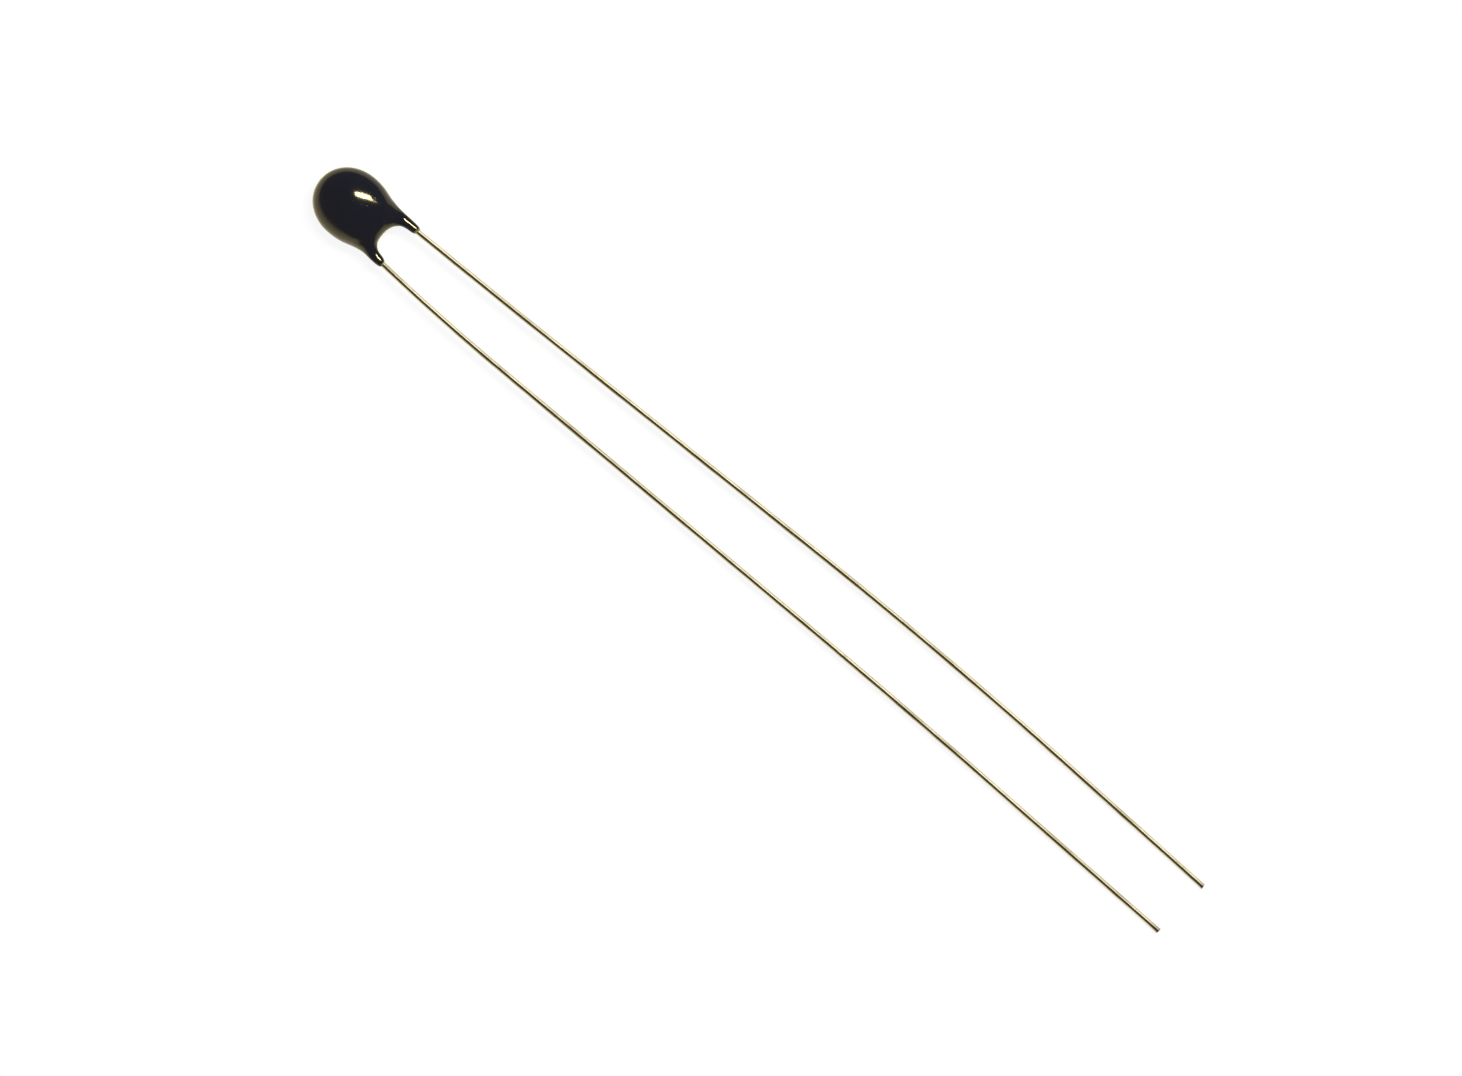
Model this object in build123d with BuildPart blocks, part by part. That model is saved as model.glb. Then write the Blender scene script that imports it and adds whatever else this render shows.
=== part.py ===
"""NTC thermistor: a glossy epoxy bead on two stiff tinned leads.

A disc of metal-oxide ceramic has a fired silver electrode on each face. One lead is soldered
across each electrode, both leads leave the disc the same way, and the whole is dipped in
epoxy, which runs a short way down the leads and ends in a collar on each.

Everything is built in the plane that both leads lie in: X runs from the bead to the lead
tips, Y is across the leads, and the bead's widest section is at X = 0. The finished pieces
are then laid down as they rest, on the bead's underside and the lead tips, with the origin
on that surface below the middle of the part.
"""

import os
from dataclasses import dataclass
from math import atan, cos, hypot, radians, sin, tan

from build123d import *

# Driving dimensions, in millimetres and degrees.

# Epoxy bead
bead_width = 2.65
bead_thickness = 1.65
nose_length = 1.51  # widest section to the nose
back_length = 1.6  # widest section to the crotch between the collars
back_fullness = 0.62  # 0.55 is an ellipse, more is a fuller shoulder
meniscus_radius = 0.45  # where the bead runs into the collars, if the gap has room for it
meniscus_share = 0.375  # most of the gap between the collars that one meniscus may take

# Epoxy collars
shoulder_begin = 0.35  # widest section to where the collars start, inside the bead
shoulder_coat = 0.37  # epoxy over the lead there
collar_begin = 1.55  # widest section to the slender part of the collars
collar_coat = 0.135  # epoxy over the lead there
collar_end_coat = 0.072  # epoxy over the lead just before the collar stops
collar_lip = 0.07  # length of the rounded edge that ends the collar

# Leads: 32 gauge tinned copper, 38 mm clear of the bead
lead_diameter = 0.2032
lead_length = 37.9  # collar's end to tip
tip_run = 13.1  # last straight run, with half of the long bend before it
inner_bend_radius = 0.4  # where a lead turns in to the disc
turn_in = 1.44  # widest section to the corner where the lead turns in
landing = 0.1  # disc's rim to the corner where the lead comes down on its face
lead_overlap = 0.42  # disc's centre back to the lead's end
lead_inset = 0.2  # disc's centre to the lead's axis, sideways
lead_cross = 25.0  # heading of a lead across the disc, out towards its collar

# Ceramic disc, its electrodes and its solder
disc_diameter = 1.5
disc_thickness = 0.5
disc_chamfer = 0.05
electrode_margin = 0.07  # bare ceramic round the silver
electrode_thickness = 0.02
solder_film = 0.02  # between the electrode and the lead
solder_length = 1.0
solder_width = 0.5
solder_cover = 0.06  # over the lead
solder_slope = 25.0  # lean of the mound's sides


@dataclass(frozen=True)
class Lead:
    """One lead: its side, and its shape outside the bead seen from above."""

    name: str
    side: int  # +1 towards +Y, -1 towards -Y
    edge_inset: float  # bead's widest edge to the lead's axis, where the collar begins
    collar_length: float  # collar's beginning to its end
    heading: float  # direction in which the lead leaves the bead
    bend: float  # collar's end to the first corner
    bend_radius: float
    middle_heading: float
    long_bend_radius: float
    tip_heading: float


left = Lead(
    name="left_lead",
    side=1,
    edge_inset=0.51,
    collar_length=0.92,
    heading=1.1,
    bend=4.8,
    bend_radius=300.0,
    middle_heading=1.6,
    long_bend_radius=220.0,
    tip_heading=-1.72,
)
right = Lead(
    name="right_lead",
    side=-1,
    edge_inset=0.455,
    collar_length=0.72,
    heading=-3.3,
    bend=2.9,
    bend_radius=90.0,
    middle_heading=0.27,
    long_bend_radius=350.0,
    tip_heading=-1.1,
)
leads = (left, right)

# Worked out from the driving dimensions.
half_width = bead_width / 2
half_thickness = bead_thickness / 2
lead_radius = lead_diameter / 2
disc_radius = disc_diameter / 2
electrode_face = disc_thickness / 2 + electrode_thickness
lead_rise = electrode_face + solder_film + lead_radius
solder_height = solder_film + lead_diameter + solder_cover
collar_gap = bead_width - left.edge_inset - right.edge_inset - lead_diameter - 2 * collar_coat


def run(start, heading, reach):
    """Point on a straight run that starts at a point, a given reach along X from it."""
    return (start[0] + reach, start[1] + reach * tan(radians(heading)))


def collar_start(lead):
    """Point on the lead's axis where the slender part of its collar begins."""
    return (collar_begin, lead.side * (half_width - lead.edge_inset))


def outer_corners(lead):
    """Corners of the lead clear of the disc: the turn in, two bends and the tip."""
    start = collar_start(lead)
    turn = run(start, lead.heading, turn_in - collar_begin)
    first = run(start, lead.heading, lead.collar_length + lead.bend)
    second = run(first, lead.middle_heading, lead_length - lead.bend - tip_run)
    tip = run(second, lead.tip_heading, tip_run)
    return [turn, first, second, tip]


def route(lead):
    """All corners of the lead in space, from its end on the disc to its tip."""
    middle = (0, lead.side * lead_inset)
    ends = (-lead_overlap, disc_radius + landing)
    on_disc = [run(middle, lead.side * lead_cross, end) for end in ends]
    on_face = [(x, y, lead.side * lead_rise) for x, y in on_disc]
    return on_face + [(x, y, 0) for x, y in outer_corners(lead)]


# Ceramic disc
with BuildPart() as disc:
    Cylinder(disc_radius, disc_thickness)
    chamfer(disc.edges().filter_by(GeomType.CIRCLE), disc_chamfer)

# Silver electrodes, the left lead's on the upper face and the right lead's below
electrodes = []
for lead in leads:
    face = Plane.XY.offset(lead.side * disc_thickness / 2)
    with BuildPart() as electrode:
        with BuildSketch(face):
            Circle(disc_radius - electrode_margin)
        extrude(amount=lead.side * electrode_thickness)
    electrodes.append(electrode)

# Leads: straight across the disc, out to the collar, then three runs and two easy bends
wires = []
for lead in leads:
    bends = [inner_bend_radius, inner_bend_radius, lead.bend_radius, lead.long_bend_radius]
    with BuildPart() as wire:
        with BuildLine() as path:
            FilletPolyline(*route(lead), radius=bends)
        with BuildSketch(Plane(origin=path.line @ 0, z_dir=path.line % 0)):
            Circle(lead_radius)
        sweep()
    wires.append(wire)

# Solder: a long sloping mound on each electrode, with the lead running through it
solders = []
for lead, wire in zip(leads, wires):
    cross = radians(lead_cross)
    foot = Plane(
        origin=(0, lead.side * lead_inset, lead.side * electrode_face),
        x_dir=(cos(cross), lead.side * sin(cross), 0),
        z_dir=(0, 0, lead.side),
    )
    with BuildPart() as solder:
        with BuildSketch(foot):
            SlotOverall(solder_length, solder_width)
        extrude(amount=solder_height, taper=solder_slope)
        add(wire.part, mode=Mode.SUBTRACT)
    solders.append(solder)

# Collars: each tapers along its lead to a rounded lip that closes on the metal
collars = []
for lead in leads:
    heading = radians(lead.heading)
    along = Plane(
        origin=(*collar_start(lead), 0),
        x_dir=(cos(heading), sin(heading), 0),
        z_dir=(-sin(heading), cos(heading), 0),
    )
    inner_end = shoulder_begin - collar_begin
    outer_end = lead.collar_length
    with BuildPart() as collar:
        with BuildSketch(along):
            with BuildLine():
                flank = Spline(
                    (inner_end, lead_radius + shoulder_coat),
                    (0, lead_radius + collar_coat),
                    (outer_end - collar_lip, lead_radius + collar_end_coat),
                    tangents=((1, -0.35), (1, -0.12)),
                )
                lip = TangentArc(flank @ 1, (outer_end, lead_radius / 2), tangent=flank % 1)
                Polyline(lip @ 1, (outer_end, 0), (inner_end, 0), flank @ 0)
            make_face()
        revolve(axis=Axis(along.origin, along.x_dir))
    collars.append(collar)

# Epoxy: an egg flattened in thickness, run into both collars by a meniscus, with the room
# that the other pieces take cut out of it
with BuildPart() as epoxy:
    with BuildSketch(Plane.XZ):
        with BuildLine():
            nose = EllipticalCenterArc((0, 0), nose_length, half_width, 180, arc_size=90)
            back = Bezier(
                nose @ 1,
                (back_fullness * back_length, -half_width),
                (back_length, -back_fullness * half_width),
                (back_length, 0),
            )
            Line(back @ 1, nose @ 0)
        make_face()
    revolve(axis=Axis.X)
    scale(by=(1, 1, bead_thickness / bead_width))
    add([collar.part for collar in collars])
    fillet(epoxy.edges(Select.NEW), min(meniscus_radius, meniscus_share * collar_gap))
    add([piece.part for piece in (disc, *electrodes, *solders, *wires)], mode=Mode.SUBTRACT)

# Laid down at rest on the bead's underside and the lead tips
reach = max(outer_corners(lead)[-1][0] for lead in leads)
lean = atan((half_thickness - lead_radius) / reach)
resting = Plane(
    origin=(
        (nose_length - reach) / 2 * cos(lean),
        0,
        hypot(half_thickness * cos(lean), back_length * sin(lean)),
    ),
    x_dir=(cos(lean), 0, -sin(lean)),
    z_dir=(sin(lean), 0, cos(lean)),
)

finished = {
    "ceramic_disc": disc,
    "front_electrode": electrodes[0],
    "back_electrode": electrodes[1],
    "front_solder": solders[0],
    "back_solder": solders[1],
    left.name: wires[0],
    right.name: wires[1],
    "epoxy_coating": epoxy,
}
os.makedirs("parts", exist_ok=True)
for name, piece in finished.items():
    piece.part.move(resting.location)
    piece.part.label = name
    export_step(piece.part, f"parts/{name}.step")
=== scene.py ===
"""Looks of an NTC thermistor: a black epoxy bead on two bare tinned leads.

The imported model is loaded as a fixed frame. The bead with its two collars and both leads get
finer skins that stand for their solids. The pieces sealed in the bead keep their solids and
get their finishes. The part lies on a pale table, in a room that is dim overhead and white at
the horizon. One long softbox lights the bead and the table, and a side panel lights the leads.
"""

import logging
from dataclasses import dataclass
from enum import Enum
from math import acos, atan2, cos, exp, hypot, pi, radians, sin, tan

import bmesh
import bpy
from mathutils import Matrix, Vector, noise
from mathutils.geometry import interpolate_bezier


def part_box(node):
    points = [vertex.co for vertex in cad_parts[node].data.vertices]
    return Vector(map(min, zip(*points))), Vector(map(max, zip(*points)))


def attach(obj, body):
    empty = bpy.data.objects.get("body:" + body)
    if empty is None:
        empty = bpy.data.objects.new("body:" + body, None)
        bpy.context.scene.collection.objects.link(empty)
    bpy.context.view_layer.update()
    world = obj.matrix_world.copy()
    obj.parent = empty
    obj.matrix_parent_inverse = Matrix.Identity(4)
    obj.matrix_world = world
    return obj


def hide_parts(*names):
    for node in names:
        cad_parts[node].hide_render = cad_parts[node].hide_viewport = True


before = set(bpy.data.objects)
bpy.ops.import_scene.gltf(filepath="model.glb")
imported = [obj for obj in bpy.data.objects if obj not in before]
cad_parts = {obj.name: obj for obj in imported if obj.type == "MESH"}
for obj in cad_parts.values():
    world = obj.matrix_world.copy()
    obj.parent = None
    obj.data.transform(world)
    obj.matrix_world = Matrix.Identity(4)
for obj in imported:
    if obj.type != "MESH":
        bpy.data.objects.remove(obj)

log = logging.getLogger("thermistor")

MM = 0.001
Colour = tuple[float, float, float]
Triple = tuple[float, float, float]
Point = tuple[float, float]


class Side(Enum):
    """The side of the middle line that a lead or a collar is on."""

    LEFT = 1
    RIGHT = -1


class Scatter(Enum):
    """How the distance to the nearest of scattered points is taken."""

    SHARP = "F1"
    SMOOTH = "SMOOTH_F1"


# ------------------------------------------------------------
# Shader maths


def even(cells: float) -> Triple:
    """The same number of cells per millimetre along each axis."""
    return (cells, cells, cells)


@dataclass(frozen=True)
class Cloud:
    """Soft noise around one half."""

    cells: Triple  # per millimetre along each axis
    octaves: float = 2.0
    rough: float = 0.5  # weight of each finer octave
    twist: float = 0.0


class Signal:
    """A shader socket whose arithmetic adds Math nodes."""

    def __init__(self, paint: "Paint", socket: bpy.types.NodeSocket) -> None:
        """Wraps a socket.

        Args:
            paint: The node tree that the socket belongs to.
            socket: An output socket of that tree.
        """
        self.paint = paint
        self.socket = socket

    def __add__(self, other: "Signal | float") -> "Signal":
        """Sum of two values."""
        return self.paint.math("ADD", self, other)

    def __radd__(self, other: float) -> "Signal":
        """Sum with a number on the left."""
        return self.paint.math("ADD", other, self)

    def __sub__(self, other: "Signal | float") -> "Signal":
        """Difference of two values."""
        return self.paint.math("SUBTRACT", self, other)

    def __rsub__(self, other: float) -> "Signal":
        """Difference from a number on the left."""
        return self.paint.math("SUBTRACT", other, self)

    def __mul__(self, other: "Signal | float") -> "Signal":
        """Product of two values."""
        return self.paint.math("MULTIPLY", self, other)


class Paint:
    """The node tree of one finish or of the room."""

    # Sockets of the Mix node while it mixes colours
    MIX_SHARE, MIX_FIRST, MIX_SECOND, MIX_RESULT = 0, 6, 7, 2

    def __init__(self, owner: bpy.types.Material | bpy.types.World) -> None:
        """Clears the owner's node tree.

        Args:
            owner: The material or world that is painted.
        """
        owner.use_nodes = True
        self.tree = owner.node_tree
        self.tree.nodes.clear()

    def node(
        self, kind: str, settings: dict | None = None, inputs: dict | None = None
    ) -> bpy.types.Node:
        """Adds a node of any kind.

        Args:
            kind: The node's type.
            settings: Its properties, set first.
            inputs: Values or signals by socket name or number.

        Returns:
            The node.
        """
        made = self.tree.nodes.new(kind)
        for name, value in (settings or {}).items():
            setattr(made, name, value)
        for key, value in (inputs or {}).items():
            if isinstance(value, Signal):
                self.tree.links.new(value.socket, made.inputs[key])
            else:
                made.inputs[key].default_value = value
        return made

    def result(
        self,
        kind: str,
        settings: dict | None = None,
        inputs: dict | None = None,
        output: str | int = 0,
    ) -> Signal:
        """Adds a node and takes one of its outputs.

        Args:
            kind: The node's type.
            settings: Its properties.
            inputs: Values or signals by socket name or number.
            output: Name or number of the output.

        Returns:
            That output as a signal.
        """
        return Signal(self, self.node(kind, settings, inputs).outputs[output])

    def math(self, operation: str, *terms: Signal | float) -> Signal:
        """Adds one Math node.

        Args:
            operation: The node's operation.
            terms: Its inputs, in order.

        Returns:
            The node's result.
        """
        return self.result("ShaderNodeMath", {"operation": operation}, dict(enumerate(terms)))

    def attribute(self, name: str) -> Signal:
        """A value that the piece's corners carry."""
        return self.result("ShaderNodeAttribute", {"attribute_name": name}, {}, "Fac")

    def place(self, cells: Triple) -> Signal:
        """Object coordinates in cells of a pattern.

        Args:
            cells: Cells per millimetre along each axis.

        Returns:
            The mapped coordinates.
        """
        spot = self.result("ShaderNodeTexCoord", output="Object")
        inputs = {"Vector": spot, "Scale": tuple(count / MM for count in cells)}
        return self.result("ShaderNodeMapping", {}, inputs)

    def cloud(self, cloud: Cloud) -> Signal:
        """Adds soft noise.

        Args:
            cloud: Its cells and its character.

        Returns:
            The noise value.
        """
        inputs = {
            "Vector": self.place(cloud.cells),
            "Scale": 1.0,
            "Detail": cloud.octaves,
            "Roughness": cloud.rough,
            "Distortion": cloud.twist,
        }
        return self.result("ShaderNodeTexNoise", {}, inputs)

    def scatter(self, cells: Triple, how: Scatter) -> Signal:
        """Adds points, scattered one to a cell.

        Args:
            cells: Cells per millimetre along each axis.
            how: How the distance is taken.

        Returns:
            The distance to the nearest point, in cells.
        """
        inputs = {"Vector": self.place(cells), "Scale": 1.0}
        return self.result("ShaderNodeTexVoronoi", {"feature": how.value}, inputs)

    def window(self, value: Signal, low: float, high: float) -> Signal:
        """Smooth step of a value.

        Args:
            value: What is stepped.
            low: Where the step is at nought.
            high: Where the step is at one.

        Returns:
            A value from nought to one.
        """
        inputs = {"Value": value, "From Min": low, "From Max": high}
        settings = {"interpolation_type": "SMOOTHSTEP"}
        return self.result("ShaderNodeMapRange", settings, inputs)

    def blend(
        self, share: Signal | float, first: Signal | Colour, second: Signal | Colour
    ) -> Signal:
        """Mixes two colours.

        Args:
            share: Share of the second colour.
            first: A colour.
            second: Another colour.

        Returns:
            The mixed colour.
        """
        ends = [c if isinstance(c, Signal) else (*c, 1.0) for c in (first, second)]
        inputs = {self.MIX_SHARE: share, self.MIX_FIRST: ends[0], self.MIX_SECOND: ends[1]}
        return self.result("ShaderNodeMix", {"data_type": "RGBA"}, inputs, self.MIX_RESULT)

    def bump(self, height: Signal, depth: float) -> Signal:
        """Turns a height into a normal.

        Args:
            height: Height from nought to one.
            depth: Real depth in millimetres.

        Returns:
            The bent normal.
        """
        inputs = {"Height": height, "Distance": depth * MM, "Strength": 1.0}
        return self.result("ShaderNodeBump", {}, inputs)

    def surface(self, inputs: dict) -> None:
        """Ends the tree in a Principled shader.

        Args:
            inputs: Values or signals of its sockets.
        """
        shader = self.result("ShaderNodeBsdfPrincipled", {}, inputs)
        self.node("ShaderNodeOutputMaterial", {}, {"Surface": shader})


# ------------------------------------------------------------
# Finishes


@dataclass(frozen=True)
class EpoxyFinish:
    """Glossy black dipping epoxy, brown where it thins out over the wire."""

    body: Colour = (0.0047, 0.0052, 0.0100)
    deep: Colour = (0.0063, 0.0066, 0.0112)
    thin: Colour = (0.13, 0.10, 0.04)
    amber: Colour = (1.0, 0.85, 0.36)  # tint of what it mirrors
    bloom: Colour = (1.0, 0.79, 0.12)  # tint of its sheen
    bloom_weight: float = 0.6
    bloom_spread: float = 0.35
    refraction: float = 1.47
    gloss: float = 0.07
    haze: float = 0.06  # roughness that drifts over it
    drift: Cloud = Cloud(even(1.1), 3.0)
    speckle: Cloud = Cloud(even(9.0))
    raggedness: float = 0.18  # of the edge of the thin epoxy
    thin_edge: Point = (0.02, 0.16)
    flow: Cloud = Cloud(even(1.6), 1.0)
    flow_height: float = 0.4
    peel: Cloud = Cloud(even(16.0), 1.0)
    peel_height: float = 0.05
    dust: Triple = even(7.0)  # specks in the skin
    dust_edge: Point = (0.03, 0.12)
    dust_height: float = 0.25
    dust_haze: float = 0.2
    depth: float = 0.006  # of the relief, in millimetres

    def material(self) -> bpy.types.Material:
        """Makes the material."""
        made = bpy.data.materials.new("black_epoxy")
        paint = Paint(made)
        drift = paint.cloud(self.drift)
        black = paint.blend(drift, self.body, self.deep)
        ragged = paint.attribute("coat") + (paint.cloud(self.speckle) - 0.5) * self.raggedness
        colour = paint.blend(paint.window(ragged, *self.thin_edge), self.thin, black)
        specks = 1.0 - paint.window(paint.scatter(self.dust, Scatter.SHARP), *self.dust_edge)
        waves = paint.cloud(self.flow) * self.flow_height
        relief = waves + paint.cloud(self.peel) * self.peel_height + specks * self.dust_height
        paint.surface(
            {
                "Base Color": colour,
                "Roughness": drift * self.haze + specks * self.dust_haze + self.gloss,
                "IOR": self.refraction,
                "Specular Tint": (*self.amber, 1.0),
                "Sheen Weight": self.bloom_weight,
                "Sheen Roughness": self.bloom_spread,
                "Sheen Tint": (*self.bloom, 1.0),
                "Normal": paint.bump(relief, self.depth),
            }
        )
        return made


@dataclass(frozen=True)
class TinnedFinish:
    """Tinned copper wire: warm, drawn lengthwise, dulled in patches."""

    bright: Colour = (0.86, 0.77, 0.50)
    dull: Colour = (0.50, 0.42, 0.22)
    stain: Colour = (0.20, 0.16, 0.07)
    edge: Colour = (0.55, 0.48, 0.30)  # tint of what it mirrors at a grazing angle
    gloss: float = 0.16
    patches: Cloud = Cloud((0.55, 4.0, 4.0), 3.0, 0.6)
    patch_edge: Point = (0.42, 0.68)
    patch_share: float = 0.75
    patch_haze: float = 0.10
    spots: Cloud = Cloud((5.0, 16.0, 16.0), 2.0, 0.6, 0.4)
    spot_edge: Point = (0.60, 0.78)
    spot_share: float = 0.55
    spot_haze: float = 0.1
    spot_height: float = 0.25
    tip_share: float = 0.7  # of the stain, at the tip
    drawn: Cloud = Cloud((0.6, 55.0, 55.0))
    drawn_height: float = 0.35
    dents: Cloud = Cloud((1.4, 5.0, 5.0))
    dent_height: float = 0.9
    depth: float = 0.004  # of the relief, in millimetres

    def material(self) -> bpy.types.Material:
        """Makes the material."""
        made = bpy.data.materials.new("tinned_wire")
        paint = Paint(made)
        dulled = paint.window(paint.cloud(self.patches), *self.patch_edge)
        spots = paint.cloud(self.spots)
        stained = paint.window(spots, *self.spot_edge)
        colour = paint.blend(dulled * self.patch_share, self.bright, self.dull)
        colour = paint.blend(stained * self.spot_share, colour, self.stain)
        colour = paint.blend(paint.attribute("tip") * self.tip_share, colour, self.stain)
        lines = paint.cloud(self.drawn) * self.drawn_height
        relief = lines + paint.cloud(self.dents) * self.dent_height + spots * self.spot_height
        rough = dulled * self.patch_haze + stained * self.spot_haze + self.gloss
        paint.surface(
            {
                "Base Color": colour,
                "Metallic": 1.0,
                "Specular Tint": (*self.edge, 1.0),
                "Roughness": rough,
                "Normal": paint.bump(relief, self.depth),
            }
        )
        return made


@dataclass(frozen=True)
class CopperFinish:
    """Copper core of a lead where it was cut through, smeared with its tin."""

    copper: Colour = (0.72, 0.38, 0.22)
    smear: Colour = (0.62, 0.56, 0.42)
    smears: Cloud = Cloud(even(14.0))
    smear_edge: Point = (0.50, 0.62)
    shear: Cloud = Cloud((8.0, 60.0, 12.0), 3.0)
    gloss: float = 0.28
    haze: float = 0.2
    depth: float = 0.004  # of the relief, in millimetres

    def material(self) -> bpy.types.Material:
        """Makes the material."""
        made = bpy.data.materials.new("cut_copper")
        paint = Paint(made)
        shear = paint.cloud(self.shear)
        smeared = paint.window(paint.cloud(self.smears), *self.smear_edge)
        paint.surface(
            {
                "Base Color": paint.blend(smeared, self.copper, self.smear),
                "Metallic": 1.0,
                "Roughness": shear * self.haze + self.gloss,
                "Normal": paint.bump(shear, self.depth),
            }
        )
        return made


@dataclass(frozen=True)
class CeramicFinish:
    """Sintered metal-oxide ceramic: dark, matt and fine grained."""

    pale: Colour = (0.050, 0.047, 0.050)
    dark: Colour = (0.024, 0.023, 0.025)
    grains: Cloud = Cloud(even(42.0), 3.0, 0.65)
    pores: Cloud = Cloud(even(22.0), 1.0)
    pore_edge: Point = (0.28, 0.36)
    pore_depth: float = 0.8  # beside the grains' height
    gloss: float = 0.55
    haze: float = 0.2
    depth: float = 0.006  # of the relief, in millimetres

    def material(self) -> bpy.types.Material:
        """Makes the material."""
        made = bpy.data.materials.new("sintered_ceramic")
        paint = Paint(made)
        grains = paint.cloud(self.grains)
        pores = 1.0 - paint.window(paint.cloud(self.pores), *self.pore_edge)
        paint.surface(
            {
                "Base Color": paint.blend(grains, self.dark, self.pale),
                "Roughness": grains * self.haze + self.gloss,
                "Normal": paint.bump(grains - pores * self.pore_depth, self.depth),
            }
        )
        return made


@dataclass(frozen=True)
class SilverFinish:
    """Fired silver paste: matt, mottled by its glass frit."""

    silver: Colour = (0.74, 0.73, 0.70)
    frit: Colour = (0.48, 0.46, 0.42)
    mottle: Cloud = Cloud(even(11.0), 4.0, 0.65)
    frit_edge: Point = (0.45, 0.70)
    frit_glass: float = 0.35  # how far the frit is from metal
    screen: Cloud = Cloud(even(34.0), 1.0)  # print of the screen
    screen_height: float = 0.4
    gloss: float = 0.38
    haze: float = 0.2
    depth: float = 0.003  # of the relief, in millimetres

    def material(self) -> bpy.types.Material:
        """Makes the material."""
        made = bpy.data.materials.new("fired_silver")
        paint = Paint(made)
        mottle, screen = paint.cloud(self.mottle), paint.cloud(self.screen)
        share = paint.window(mottle, *self.frit_edge)
        paint.surface(
            {
                "Base Color": paint.blend(share, self.silver, self.frit),
                "Metallic": 1.0 - share * self.frit_glass,
                "Roughness": screen * self.haze + self.gloss,
                "Normal": paint.bump(mottle + screen * self.screen_height, self.depth),
            }
        )
        return made


@dataclass(frozen=True)
class SolderFinish:
    """Soft solder: satin, frosted in crystals as it froze."""

    bright: Colour = (0.66, 0.65, 0.63)
    frosted: Colour = (0.44, 0.43, 0.41)
    crystals: Triple = even(13.0)
    crystal_height: float = 0.4
    flow: Cloud = Cloud(even(4.0))
    gloss: float = 0.22
    haze: float = 0.25
    depth: float = 0.005  # of the relief, in millimetres

    def material(self) -> bpy.types.Material:
        """Makes the material."""
        made = bpy.data.materials.new("soft_solder")
        paint = Paint(made)
        crystals = paint.scatter(self.crystals, Scatter.SMOOTH)
        relief = crystals * self.crystal_height + paint.cloud(self.flow)
        paint.surface(
            {
                "Base Color": paint.blend(crystals, self.bright, self.frosted),
                "Metallic": 1.0,
                "Roughness": crystals * self.haze + self.gloss,
                "Normal": paint.bump(relief, self.depth),
            }
        )
        return made


@dataclass(frozen=True)
class TableFinish:
    """Pale table top that mirrors and cameras see as plain white, with soft shadows on it."""

    card: Colour = (0.74, 0.74, 0.74)
    white: Colour = (0.99, 0.985, 0.985)
    plain: float = 0.92  # share of the plain white, which leaves the rest to the shadows

    def material(self) -> bpy.types.Material:
        """Makes the material."""
        made = bpy.data.materials.new("pale_table")
        paint = Paint(made)
        path = paint.node("ShaderNodeLightPath")
        camera, glossy, through = (
            Signal(paint, path.outputs[f"Is {ray} Ray"])
            for ray in ("Camera", "Glossy", "Transmission")
        )
        seen = paint.math("MINIMUM", camera + glossy + through, 1.0)
        inputs = {"Color": (*self.card, 1.0), "Roughness": 1.0}
        lit = paint.result("ShaderNodeBsdfDiffuse", {}, inputs)
        glow = paint.result(
            "ShaderNodeEmission", {}, {"Color": (*self.white, 1.0), "Strength": 1.0}
        )
        mixed = paint.result(
            "ShaderNodeMixShader", {}, {0: seen * self.plain, 1: lit, 2: glow}
        )
        paint.node("ShaderNodeOutputMaterial", {}, {"Surface": mixed})
        return made


# ------------------------------------------------------------
# Helpers on shapes


def smooth_step(value: float, low: float, high: float) -> float:
    """Smooth step of a number.

    Args:
        value: What is stepped.
        low: Where the step is at nought.
        high: Where the step is at one.

    Returns:
        A number from nought to one.
    """
    share = min(max((value - low) / (high - low), 0.0), 1.0)
    return share * share * (3 - 2 * share)


def skin(
    bm: bmesh.types.BMesh, name: str, materials: list[bpy.types.Material], levels: int
) -> bpy.types.Object:
    """Makes a smooth shaded object from a cage.

    Args:
        bm: The cage, which is freed.
        name: Name of the piece.
        materials: Its materials, in slot order.
        levels: Levels of its Subdivision Surface.

    Returns:
        The object, at the origin.
    """
    bmesh.ops.recalc_face_normals(bm, faces=bm.faces)
    for face in bm.faces:
        face.smooth = True
    mesh = bpy.data.meshes.new(name)
    bm.to_mesh(mesh)
    bm.free()
    for material in materials:
        mesh.materials.append(material)
    piece = bpy.data.objects.new(name, mesh)
    bpy.context.scene.collection.objects.link(piece)
    smooth = piece.modifiers.new("smooth skin", "SUBSURF")
    smooth.levels = smooth.render_levels = levels
    return piece


def tighten(piece: bpy.types.Object, rounds: int = 2) -> None:
    """Swells a cage until its smooth skin runs through the places its corners had.

    The first corners of the skin are the cage's own, in the same order.

    Args:
        piece: A piece with a live Subdivision Surface.
        rounds: Number of corrections.
    """
    wanted = [corner.co.copy() for corner in piece.data.vertices]
    for _ in range(rounds):
        graph = bpy.context.evaluated_depsgraph_get()
        skinned = piece.evaluated_get(graph).data
        reached = [skinned.vertices[number].co.copy() for number in range(len(wanted))]
        for corner, goal, now in zip(piece.data.vertices, wanted, reached):
            corner.co += goal - now
        piece.data.update()
        bpy.context.view_layer.update()


# ------------------------------------------------------------
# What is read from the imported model


@dataclass(frozen=True)
class Station:
    """One place on a lead's axis, in the row frame."""

    middle: Vector
    heading: Vector


@dataclass(frozen=True)
class Ring:
    """One ring of corners of a lead's solid: its middle, its plane's normal, its radius."""

    middle: Vector
    normal: Vector
    radius: float


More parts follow.
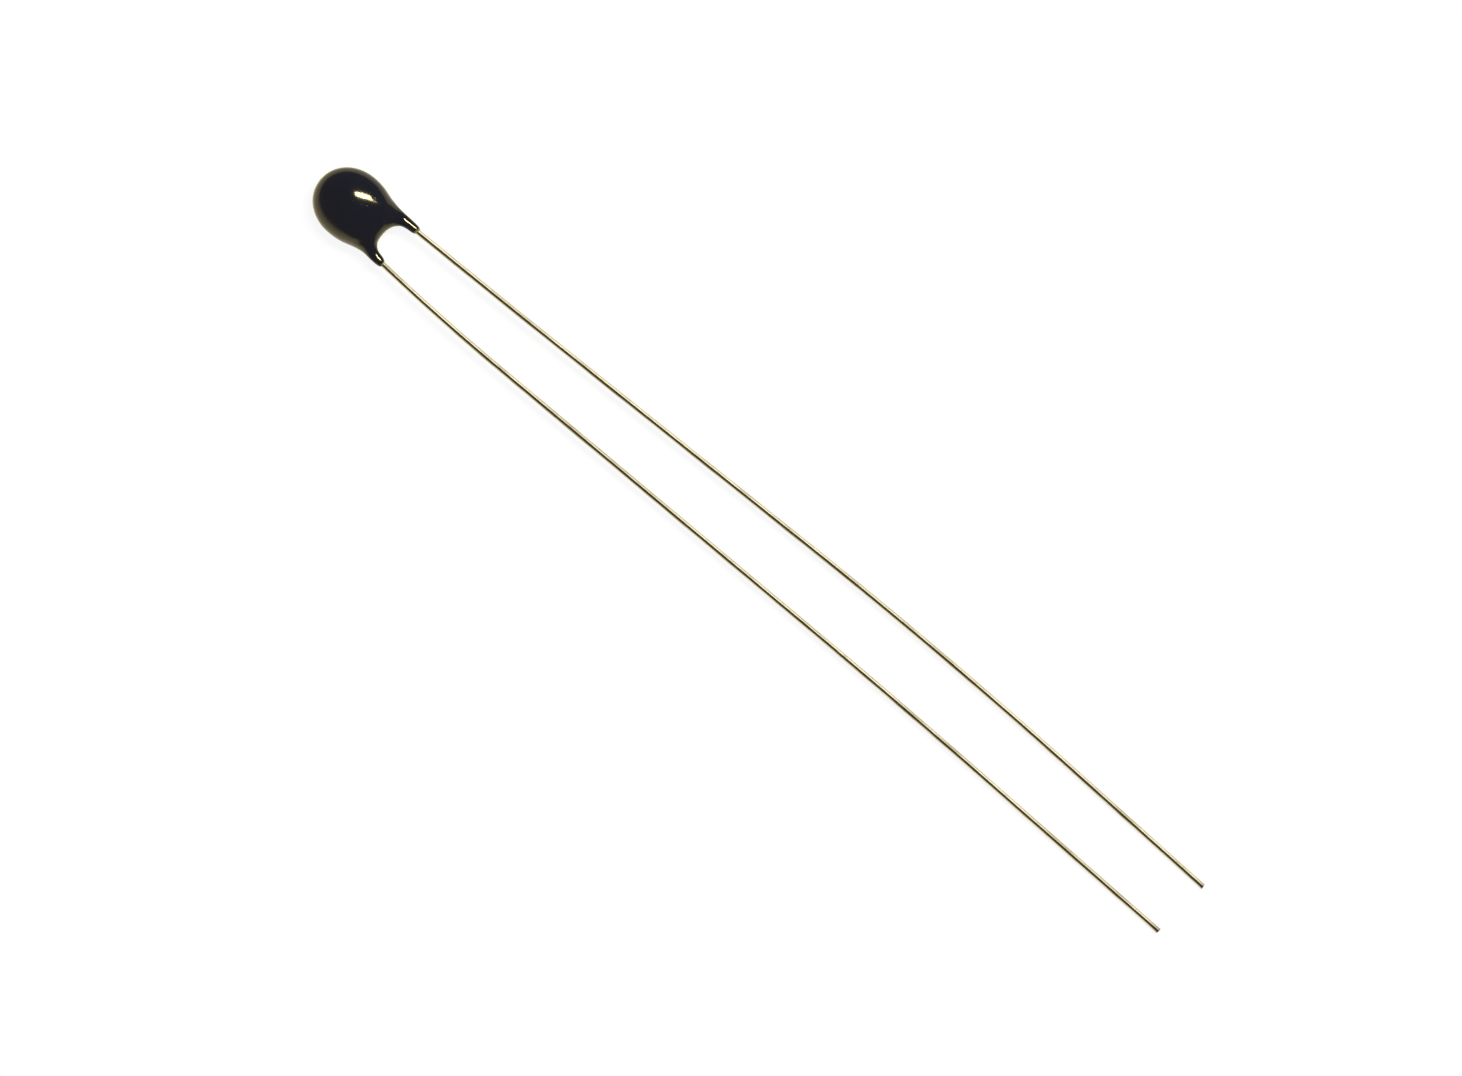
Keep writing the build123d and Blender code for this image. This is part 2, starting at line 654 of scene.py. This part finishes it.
class LeadLine:
    """A lead's axis and radius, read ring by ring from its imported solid."""

    WELD = 0.001 * MM  # corners closer than this are one
    TIP_SLAB = 0.03 * MM  # corners this close to the far end are the tip's ring

    def __init__(self, node: str) -> None:
        """Reads the solid.

        Args:
            node: Name of the lead's node.
        """
        bm = bmesh.new()
        bm.from_mesh(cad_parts[node].data)
        bmesh.ops.remove_doubles(bm, verts=bm.verts, dist=self.WELD)
        bm.verts.index_update()
        rings = self.rings(bm)[::-1]
        bm.free()
        self.radius = rings[-1].radius
        self.stations: list[Station] = []
        for number, ring in enumerate(rings):
            before = rings[max(number - 1, 0)]
            after = rings[min(number + 1, len(rings) - 1)]
            onward = ring.normal.dot(after.middle - before.middle) > 0
            self.stations.append(Station(ring.middle, ring.normal if onward else -ring.normal))

    @classmethod
    def rings(cls, bm: bmesh.types.BMesh) -> list[Ring]:
        """Walks along a solid, from one ring of corners to the next.

        Args:
            bm: The solid.

        Returns:
            Its rings, from the tip inwards.
        """
        far = max(vert.co.x for vert in bm.verts)
        ring = [vert for vert in bm.verts if vert.co.x > far - cls.TIP_SLAB]
        known = set(ring)
        found = []
        while ring:
            middle = sum((vert.co for vert in ring), Vector()) / len(ring)
            arm = ring[0].co - middle
            normal = max((arm.cross(vert.co - middle) for vert in ring), key=lambda v: v.length)
            found.append(Ring(middle, normal.normalized(), arm.length))
            beside = {
                edge.other_vert(vert)
                for vert in ring
                for edge in vert.link_edges
                if edge.other_vert(vert) not in known
            }
            ring = sorted(beside, key=lambda vert: vert.index)
            known.update(ring)
        return found


class Lay:
    """How the bead lies in the row frame: its middle and its lean."""

    def __init__(self, line: LeadLine) -> None:
        """Reads the middle from the ceramic disc and the lean from a lead.

        Args:
            line: A lead's axis, which outside the bead lies in the bead's middle plane.
        """
        low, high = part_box("ceramic_disc")
        self.middle = (low + high) / 2
        tip = line.stations[-1].middle - self.middle
        self.lean = atan2(-tip.z, tip.x)

    def matrix(self) -> Matrix:
        """Bead's own millimetres to the row frame."""
        turned = Matrix.Rotation(self.lean, 4, "Y") @ Matrix.Scale(MM, 4)
        return Matrix.Translation(self.middle) @ turned


# ------------------------------------------------------------
# The bead and its collars


@dataclass(frozen=True)
class Hoop:
    """One loop of a collar's skin. Sizes in millimetres."""

    inner: Point  # its point in the plane of the leads on the side of the crotch
    outer: Point  # its point in that plane on the far side
    rise: float  # half of its height
    coat: float = 1.0  # share of the epoxy's full darkness


@dataclass(frozen=True)
class Collar:
    """A collar's side and the loops that lead its skin out of the bead to the wire."""

    side: Side
    hoops: tuple[Hoop, ...]


LEFT_COLLAR = Collar(
    Side.LEFT,
    (
        Hoop((1.655, 0.270), (1.150, 1.112), 0.400),
        Hoop((1.705, 0.390), (1.380, 1.072), 0.270),
        Hoop((1.770, 0.490), (1.600, 1.052), 0.178),
        Hoop((1.870, 0.580), (1.810, 1.044), 0.160),
        Hoop((2.000, 0.630), (2.020, 1.040), 0.152),
        Hoop((2.150, 0.658), (2.230, 1.029), 0.145, 0.75),
        Hoop((2.290, 0.668), (2.385, 1.013), 0.138, 0.3),
        Hoop((2.400, 0.688), (2.480, 0.982), 0.126, 0.05),
        Hoop((2.480, 0.732), (2.525, 0.935), 0.100, 0.0),
        Hoop((2.330, 0.770), (2.360, 0.890), 0.060, 0.0),
    ),
)
RIGHT_COLLAR = Collar(
    Side.RIGHT,
    (
        Hoop((1.625, 0.400), (1.150, 1.102), 0.410),
        Hoop((1.665, 0.480), (1.380, 1.058), 0.290),
        Hoop((1.720, 0.550), (1.570, 1.052), 0.212),
        Hoop((1.810, 0.620), (1.740, 1.066), 0.184),
        Hoop((1.930, 0.665), (1.910, 1.076), 0.170),
        Hoop((2.060, 0.694), (2.070, 1.079), 0.160, 0.75),
        Hoop((2.180, 0.730), (2.205, 1.066), 0.150, 0.3),
        Hoop((2.250, 0.772), (2.275, 1.034), 0.126, 0.05),
        Hoop((2.285, 0.815), (2.305, 1.000), 0.098, 0.0),
        Hoop((2.180, 0.850), (2.190, 0.975), 0.060, 0.0),
    ),
)


FLUSH = 0.999  # a face whose middle is further out than this lies in a side of the cube


@dataclass(frozen=True)
class Bead:
    """The epoxy: a flattened egg that runs into two collars. Sizes in millimetres."""

    # The egg
    nose: float = 1.505
    back: float = 1.615
    half_width: float = 1.325
    half_thickness: float = 0.825
    nose_fullness: float = 2.05  # 2 is an ellipse, more is fuller
    fullness: float = 2.23
    divisions: int = 8  # of an edge of the cube that it grows from
    levels: int = 3  # of the smooth skin

    # The notch between the collars
    notch_shift: float = 0.13  # to the -Y side
    notch_pinch: float = 0.5  # share of the width taken away
    notch_reach: float = 18.0  # degrees from the crotch

    # The horn in the egg's shoulder that each collar begins with: at its start and its end
    horn_reach: Point = (0.90, 1.55)
    horn_middle: Point = (0.64, 0.76)
    horn_width: Point = (0.44, 0.31)
    horn_rise: Point = (0.62, 0.41)
    horn_begin: Point = (0.55, 1.15)  # where it begins to swell the egg, and where it's full
    horn_core: float = 0.2  # share of the horn inside which the swelling grows no more
    meniscus: float = 6.0  # more is a sharper crease between egg and horn

    # The square of faces, astride an edge of the cube, that each collar grows from
    patch_half: int = 2  # faces
    patch_inset: int = 1  # faces from the cube's edge to the square's middle

    # How the wet epoxy settled
    root_rise: float = 0.1  # a corner higher than this belongs to a root,
    root_inset: float = 0.45  # and so does one nearer the middle than this
    relax_from: tuple[float, ...] = (0.50, 0.70, 0.85, 0.95)
    relax_to: float = 1.95
    relax_share: float = 0.5
    slack: Point = (0.90, 2.00)  # where the bead's slackness fades out
    tilt: float = 0.08  # rise over width
    sway: float = 0.011  # shift to the +Y side
    waviness: float = 0.005
    wave_cells: float = 1.3  # per millimetre

    collars: tuple[Collar, ...] = (LEFT_COLLAR, RIGHT_COLLAR)

    def egg(self, cube: Vector) -> Vector:
        """Place on the egg of a point on the two unit cube.

        Args:
            cube: A point on the cube's faces.

        Returns:
            The point on the egg, in the bead's own millimetres.
        """
        ray = Vector([tan(part * pi / 4) for part in cube]).normalized()
        ahead = ray.x > 0
        length = self.back if ahead else self.nose
        power = self.fullness if ahead else self.nose_fullness
        stretch = (abs(ray.x) ** power + hypot(ray.y, ray.z) ** power) ** (-1 / power)
        spot = stretch * Vector(
            (ray.x * length, ray.y * self.half_width, ray.z * self.half_thickness)
        )
        if not ahead:
            return spot
        near = exp(-((acos(min(ray.x, 1.0)) / radians(self.notch_reach)) ** 2))
        spot.y = spot.y * (1 - self.notch_pinch * near) - self.notch_shift * near
        for side in Side:
            spot = self.push_out(spot, side)
        return spot

    def push_out(self, spot: Vector, side: Side) -> Vector:
        """Pushes a place out of the horn in which a collar begins, inside the bead.

        Args:
            spot: A place on the egg, in the bead's own millimetres.
            side: The horn's side.

        Returns:
            The place, on the smooth union of egg and horn.
        """
        share = (spot.x - self.horn_reach[0]) / (self.horn_reach[1] - self.horn_reach[0])
        middle, width, rise = (
            ends[0] + share * (ends[1] - ends[0])
            for ends in (self.horn_middle, self.horn_width, self.horn_rise)
        )
        axis = Vector((spot.x, side.value * middle, 0))
        off = spot - axis
        depth = max(hypot(off.y / width, off.z / rise), self.horn_core)
        swell = (1 + depth**-self.meniscus) ** (1 / self.meniscus) - 1
        return axis + off * (1 + swell * smooth_step(spot.x, *self.horn_begin))

    def patch_place(self, cube: Vector, side: Side) -> Point:
        """Place in the square that a collar grows from.

        Args:
            cube: A point on the two unit cube.
            side: The collar's side.

        Returns:
            Faces from the square's middle, outward and upward.
        """
        per_unit = self.divisions // 2
        outward = side.value * cube.y - cube.x
        return (per_unit * outward + self.patch_inset, per_unit * cube.z)

    def in_patch(
        self, face: bmesh.types.BMFace, layer: bmesh.types.BMLayerItem, side: Side
    ) -> bool:
        """Whether a collar grows from a face.

        Args:
            face: A face of the cage.
            layer: The layer that holds where each corner was on the cube.
            side: The collar's side.

        Returns:
            True for a face in the collar's square.
        """
        cube = sum((vert[layer] for vert in face.verts), Vector()) / len(face.verts)
        out, up = self.patch_place(cube, side)
        on_side = max(cube.x, side.value * cube.y) > FLUSH
        return on_side and abs(out) < self.patch_half and abs(up) < self.patch_half

    @staticmethod
    def clock(out: float, up: float) -> float:
        """Angle round a hoop of a place in the square.

        Args:
            out: Faces outward from the square's middle.
            up: Faces upward from it.

        Returns:
            The angle in radians, nought outward and a right angle upward.
        """
        if abs(out) >= abs(up):
            turn = up / abs(out) * pi / 4
            return turn if out > 0 else pi - turn
        turn = pi / 2 - out / abs(up) * pi / 4
        return turn if up > 0 else -turn

    def place_loop(
        self,
        verts: list[bmesh.types.BMVert],
        layer: bmesh.types.BMLayerItem,
        collar: Collar,
        hoop: Hoop,
    ) -> None:
        """Moves the square's corners on to a hoop.

        Args:
            verts: Corners of the square.
            layer: The layer that holds where each was on the cube.
            collar: The collar that is drawn out.
            hoop: The hoop.
        """
        inner, outer = (
            Vector((end[0], end[1] * collar.side.value, 0)) for end in (hoop.inner, hoop.outer)
        )
        middle, arm = (outer + inner) / 2, (outer - inner) / 2
        for vert in verts:
            out, up = self.patch_place(vert[layer], collar.side)
            steps = max(abs(out), abs(up))
            if not round(steps):
                vert.co = middle
                continue
            clock, share = self.clock(out, up), steps / self.patch_half
            vert.co = middle + arm * cos(clock) * share
            vert.co.z = hoop.rise * sin(clock) * share

    def draw_out(
        self,
        bm: bmesh.types.BMesh,
        layer: bmesh.types.BMLayerItem,
        coat: bmesh.types.BMLayerItem,
        collar: Collar,
    ) -> None:
        """Draws one collar out of the egg's shoulder.

        Args:
            bm: The cage.
            layer: The layer that holds where each corner was on the cube.
            coat: The layer that holds how thick the epoxy is.
            collar: The collar.
        """
        patch = [face for face in bm.faces if self.in_patch(face, layer, collar.side)]
        for hoop in collar.hoops:
            grown = bmesh.ops.extrude_face_region(bm, geom=patch)["geom"]
            bmesh.ops.delete(bm, geom=patch, context="FACES")
            patch = [part for part in grown if isinstance(part, bmesh.types.BMFace)]
            verts = [part for part in grown if isinstance(part, bmesh.types.BMVert)]
            self.place_loop(verts, layer, collar, hoop)
            for vert in verts:
                vert[coat] = hoop.coat

    def relax(self, bm: bmesh.types.BMesh) -> None:
        """Lets the collars' roots flow smooth, each time over a shorter stretch.

        Args:
            bm: The cage, in the bead's own millimetres.
        """
        for start in self.relax_from:
            roots = [
                vert
                for vert in bm.verts
                if start < vert.co.x < self.relax_to
                and (abs(vert.co.z) > self.root_rise or abs(vert.co.y) < self.root_inset)
            ]
            bmesh.ops.smooth_vert(
                bm,
                verts=roots,
                factor=self.relax_share,
                use_axis_x=True,
                use_axis_y=True,
                use_axis_z=True,
            )

    def sag(self, bm: bmesh.types.BMesh) -> None:
        """Lets the bead hang a little to one side and be not quite even.

        Args:
            bm: The cage, in the bead's own millimetres.
        """
        for vert in bm.verts:
            loose = 1 - smooth_step(vert.co.x, *self.slack)
            drift = noise.noise(vert.co * self.wave_cells)
            vert.co += vert.co.normalized() * self.waviness * drift * loose
            vert.co.z += self.tilt * vert.co.y * loose
            vert.co.y += self.sway * loose * (1 - (min(vert.co.x, 0.0) / self.nose) ** 2)

    def build(self, lay: Lay, finish: EpoxyFinish) -> bpy.types.Object:
        """Builds and dresses the coating.

        Args:
            lay: How the bead lies.
            finish: Its finish.

        Returns:
            The piece, which stands for the coating's solid.
        """
        bm = bmesh.new()
        bmesh.ops.create_cube(bm, size=2.0)
        bmesh.ops.subdivide_edges(
            bm, edges=bm.edges[:], cuts=self.divisions - 1, use_grid_fill=True
        )
        layer = bm.verts.layers.float_vector.new("cube")
        coat = bm.verts.layers.float.new("coat")
        for vert in bm.verts:
            vert[layer] = vert.co
            vert[coat] = 1.0
            vert.co = self.egg(vert.co)
        for collar in self.collars:
            self.draw_out(bm, layer, coat, collar)
        self.relax(bm)
        self.sag(bm)
        bm.verts.layers.float_vector.remove(bm.verts.layers.float_vector["cube"])
        bmesh.ops.transform(bm, matrix=lay.matrix(), verts=bm.verts)
        piece = skin(bm, "epoxy_bead", [finish.material()], self.levels)
        tighten(piece)
        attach(piece, "root")
        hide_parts("epoxy_coating")
        return piece


# ------------------------------------------------------------
# The leads


@dataclass(frozen=True)
class TipRing:
    """A ring of a lead's skin near its cut tip."""

    off: float  # millimetres from the tip
    slant: float  # share of the cut's slant
    burred: bool


TIP_RINGS = (
    TipRing(0.16, 0.3, False),
    TipRing(0.07, 0.7, False),
    TipRing(0.022, 1.0, True),
    TipRing(0.0, 1.0, True),
)


@dataclass(frozen=True)
class Loop:
    """One loop of a lead's skin: where a flat ring is put, and how far the tip stains it."""

    matrix: Matrix
    stain: float


@dataclass(frozen=True)
class Lead:
    """A bare lead, drawn along its solid's axis. Sizes in millimetres."""

    node: str
    name: str
    slant: float  # of the cut at the tip, in radians
    seed: float  # of its unevenness
    sides: int = 12
    levels: int = 2  # of the smooth skin
    pace: float = 0.45  # longest step from loop to loop
    unevenness: float = 0.012  # share of the radius
    wave: float = 0.83  # step of the unevenness from loop to loop
    burr: float = 0.018  # share of the radius
    stained: float = 0.35  # length of the stained tip
    plain_end: float = 0.24  # where the plain loops stop short of the tip
    rim: float = 0.012  # width of the flat rim round the cut
    dish_width: float = 0.02
    dish_depth: float = 0.008

    def route(self, line: LeadLine) -> list[Station]:
        """Stations along the axis, close together wherever it runs far.

        Args:
            line: The axis of the lead's solid.

        Returns:
            The stations, from the end in the bead to the tip.
        """
        route = [line.stations[0]]
        for start, end in zip(line.stations, line.stations[1:]):
            chord = end.middle - start.middle
            count = max(1, round(chord.length / MM / self.pace))
            reach = chord.length / 3
            points = interpolate_bezier(
                start.middle,
                start.middle + start.heading * reach,
                end.middle - end.heading * reach,
                end.middle,
                count + 1,
            )
            for number in range(1, count):
                heading = (points[number + 1] - points[number - 1]).normalized()
                route.append(Station(points[number], heading))
            route.append(end)
        return route

    @staticmethod
    def stand(station: Station, size: float, slant: float = 0.0) -> Matrix:
        """Frame of a ring across the axis.

        Args:
            station: Place on the axis.
            size: Scale of the ring.
            slant: Turn of the ring about the upright, in radians.

        Returns:
            The matrix that puts a flat ring there.
        """
        across = Vector((0, 0, 1)).cross(station.heading).normalized()
        upright = station.heading.cross(across)
        turned = Matrix((across, upright, station.heading)).transposed().to_4x4()
        turned = Matrix.Translation(station.middle) @ turned @ Matrix.Rotation(slant, 4, "Y")
        return turned @ Matrix.Scale(size, 4)

    def loops(self, line: LeadLine) -> list[Loop]:
        """Loops of the skin.

        Args:
            line: The axis of the lead's solid.

        Returns:
            The loops, from the end in the bead to the cut tip.
        """
        route = self.route(line)
        last = route[-1]
        plan = [
            (station, 0.0, False)
            for station in route[1:]
            if (last.middle - station.middle).length > self.plain_end * MM
        ]
        for ring in TIP_RINGS:
            station = Station(last.middle - last.heading * ring.off * MM, last.heading)
            plan.append((station, self.slant * ring.slant, ring.burred))
        loops = [Loop(self.stand(route[0], 1.0), 0.0)]
        for number, (station, slant, burred) in enumerate(plan):
            wobble = noise.noise(Vector((number * self.wave, self.seed, 0.0)))
            size = 1.0 + (self.burr if burred else self.unevenness * wobble)
            away = (last.middle - station.middle).length / MM
            stain = max(0.0, 1.0 - away / self.stained)
            loops.append(Loop(self.stand(station, size, slant), stain))
        return loops

    def build(
        self, line: LeadLine, finish: bpy.types.Material, cut: bpy.types.Material
    ) -> bpy.types.Object:
        """Builds and dresses the lead.

        Args:
            line: The axis of the lead's solid.
            finish: Material of the wire.
            cut: Material of its cut face.

        Returns:
            The piece, which stands for the lead's solid.
        """
        first, *others = self.loops(line)
        bm = bmesh.new()
        tip = bm.verts.layers.float.new("tip")
        bmesh.ops.create_circle(
            bm, cap_ends=True, segments=self.sides, radius=line.radius, matrix=first.matrix
        )
        edges = list(bm.edges)
        before = first.matrix
        for loop in others:
            grown = bmesh.ops.extrude_edge_only(bm, edges=edges)["geom"]
            verts = [part for part in grown if isinstance(part, bmesh.types.BMVert)]
            edges = [part for part in grown if isinstance(part, bmesh.types.BMEdge)]
            bmesh.ops.transform(bm, matrix=loop.matrix @ before.inverted(), verts=verts)
            for vert in verts:
                vert[tip] = loop.stain
            before = loop.matrix
        self.cut_off(bm, edges)
        piece = skin(bm, self.name, [finish, cut], self.levels)
        tighten(piece)
        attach(piece, "root")
        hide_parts(self.node)
        return piece

    def cut_off(self, bm: bmesh.types.BMesh, edges: list[bmesh.types.BMEdge]) -> None:
        """Closes the tip with a cut face: a narrow rim round a shallow dish.

        Args:
            bm: The cage.
            edges: Its last loop.
        """
        faces = bmesh.ops.contextual_create(bm, geom=edges)["faces"]
        for face in faces:
            face.material_index = 1
        rim = bmesh.ops.inset_region(bm, faces=faces, thickness=self.rim * MM)["faces"]
        bmesh.ops.inset_region(
            bm, faces=faces, thickness=self.dish_width * MM, depth=-self.dish_depth * MM
        )
        for face in rim:
            face.material_index = 1


LEADS = (
    Lead("left_lead", "left_wire", slant=radians(9.0), seed=0.3),
    Lead("right_lead", "right_wire", slant=radians(-4.0), seed=7.9),
)


# ------------------------------------------------------------
# The pieces sealed in the bead


@dataclass(frozen=True)
class Core:
    """Disc, electrodes and solder, which keep their solids."""

    ceramic: CeramicFinish = CeramicFinish()
    silver: SilverFinish = SilverFinish()
    solder: SolderFinish = SolderFinish()

    def dress(self) -> list[bpy.types.Object]:
        """Gives each inner solid its finish.

        Returns:
            The dressed solids.
        """
        silver, solder = self.silver.material(), self.solder.material()
        finishes = {
            "ceramic_disc": self.ceramic.material(),
            "front_electrode": silver,
            "back_electrode": silver,
            "front_solder": solder,
            "back_solder": solder,
        }
        for node, material in finishes.items():
            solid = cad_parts[node]
            solid.data.materials.clear()
            solid.data.materials.append(material)
        return [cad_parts[node] for node in finishes]


# ------------------------------------------------------------
# Table, light and camera


@dataclass(frozen=True)
class Panel:
    """A lamp seen from the bead between two directions, which lights chosen pieces."""

    name: str
    start: Triple
    end: Triple
    width: float  # metres
    glow: float  # radiance
    away: float = 0.6  # metres to the lamp, for a direction of length one

    def hang(self, lay: Lay, lit: list[bpy.types.Object]) -> bpy.types.Object:
        """Hangs the lamp.

        Args:
            lay: How the bead lies.
            lit: The pieces that it lights.

        Returns:
            The lamp.
        """
        start, end = (Vector(way) * self.away for way in (self.start, self.end))
        middle, along = (start + end) / 2, end - start
        back = (middle - along * middle.dot(along) / along.length_squared).normalized()
        axis = along.normalized()
        turned = Matrix((axis, back.cross(axis), back)).transposed().to_4x4()
        data = bpy.data.lights.new(self.name, "AREA")
        data.shape = "RECTANGLE"
        data.size, data.size_y = along.length, self.width
        data.energy = self.glow * pi * data.size * data.size_y
        lamp = bpy.data.objects.new(self.name, data)
        lamp.matrix_world = Matrix.Translation(lay.middle + middle) @ turned
        bpy.context.scene.collection.objects.link(lamp)
        chosen = bpy.data.collections.new(f"lit by {self.name}")
        for piece in lit:
            chosen.objects.link(piece)
        lamp.light_linking.receiver_collection = chosen
        return lamp


SOFTBOX = Panel(
    "softbox", (-0.110, 0.248, 0.962), (0.207, 0.527, 0.824), width=0.081, glow=84.0
)
SIDE_PANEL = Panel("side_panel", (-1.0, 0.79, 0.61), (1.0, 0.79, 0.61), width=0.58, glow=1.32)


@dataclass(frozen=True)
class Studio:
    """A pale table, a room that is dim overhead, and the camera above."""

    table_size: float = 3.0  # metres
    table_drop: float = 0.002  # millimetres below the part
    room: float = 0.06  # overhead, as mirrors and cameras see it
    fill: float = 0.36  # overhead, as matt surfaces see it
    horizon: float = 1.0
    horizon_edge: Point = (-0.06, 0.12)  # heights between which the white fades out
    horizon_lift: float = 0.05  # how much lower the white is on the +Y side
    horizon_spread: float = 0.55  # how much quicker it fades there
    camera_height: float = 0.3  # metres
    view_width: float = 54.21  # millimetres
    view_middle: Point = (-0.770, -0.331)  # millimetres
    roll: float = 40.2  # degrees
    sensor: float = 36.0  # millimetres
    clip: Point = (0.01, 10.0)  # metres

    def table(self) -> bpy.types.Object:
        """Lays the table under the part."""
        bm = bmesh.new()
        bmesh.ops.create_grid(bm, x_segments=2, y_segments=2, size=self.table_size / 2)
        under = min(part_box(node)[0].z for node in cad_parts)
        drop = (0, 0, under - self.table_drop * MM)
        bmesh.ops.translate(bm, vec=drop, verts=bm.verts)
        mesh = bpy.data.meshes.new("table")
        bm.to_mesh(mesh)
        bm.free()
        mesh.materials.append(TableFinish().material())
        table = bpy.data.objects.new("table", mesh)
        bpy.context.scene.collection.objects.link(table)
        return table

    def surroundings(self) -> bpy.types.World:
        """Makes a room that is dim overhead and white down at the horizon."""
        world = bpy.data.worlds.new("room")
        bpy.context.scene.world = world
        paint = Paint(world)
        way = paint.result("ShaderNodeTexCoord", output="Generated")
        parts = paint.node("ShaderNodeSeparateXYZ", {}, {"Vector": way})
        side, height = (Signal(paint, parts.outputs[part]) for part in "YZ")
        height = height * (1.0 + side * self.horizon_spread) + side * self.horizon_lift
        overhead = paint.window(height, *self.horizon_edge)
        soft = paint.result("ShaderNodeLightPath", output="Is Diffuse Ray")
        dim = paint.blend(soft, (self.room,) * 3, (self.fill,) * 3)
        shade = paint.blend(overhead, (self.horizon,) * 3, dim)
        glow = paint.result("ShaderNodeBackground", {}, {"Color": shade, "Strength": 1.0})
        paint.node("ShaderNodeOutputWorld", {}, {"Surface": glow})
        return world

    def camera(self) -> bpy.types.Object:
        """Hangs the camera over the part, looking straight down."""
        data = bpy.data.cameras.new("camera")
        data.sensor_width = self.sensor
        data.lens = data.sensor_width * self.camera_height / (self.view_width * MM)
        data.clip_start, data.clip_end = self.clip
        camera = bpy.data.objects.new("camera", data)
        x, y = self.view_middle
        camera.location = (x * MM, y * MM, self.camera_height)
        camera.rotation_euler = (0, 0, radians(self.roll))
        bpy.context.scene.collection.objects.link(camera)
        bpy.context.scene.camera = camera
        bpy.context.scene.view_settings.view_transform = "Standard"
        return camera


def main() -> None:
    """Builds, dresses and lights the thermistor."""
    logging.basicConfig(level=logging.INFO, format="%(name)s: %(message)s")
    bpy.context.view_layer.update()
    lines = {lead.node: LeadLine(lead.node) for lead in LEADS}
    lay = Lay(lines["left_lead"])
    bead = Bead().build(lay, EpoxyFinish())
    log.info("%s: %d corners in the cage", bead.name, len(bead.data.vertices))
    tinned, cut = TinnedFinish().material(), CopperFinish().material()
    wires = [lead.build(lines[lead.node], tinned, cut) for lead in LEADS]
    for wire in wires:
        log.info("%s: %d corners in the cage", wire.name, len(wire.data.vertices))
    for solid in Core().dress():
        log.info("%s: dressed", solid.name)
    studio = Studio()
    table = studio.table()
    lamps = SOFTBOX.hang(lay, [bead, table]), SIDE_PANEL.hang(lay, wires)
    for thing in (table, *lamps, studio.surroundings(), studio.camera()):
        log.info("%s: set", thing.name)


if __name__ == "__main__":
    main()
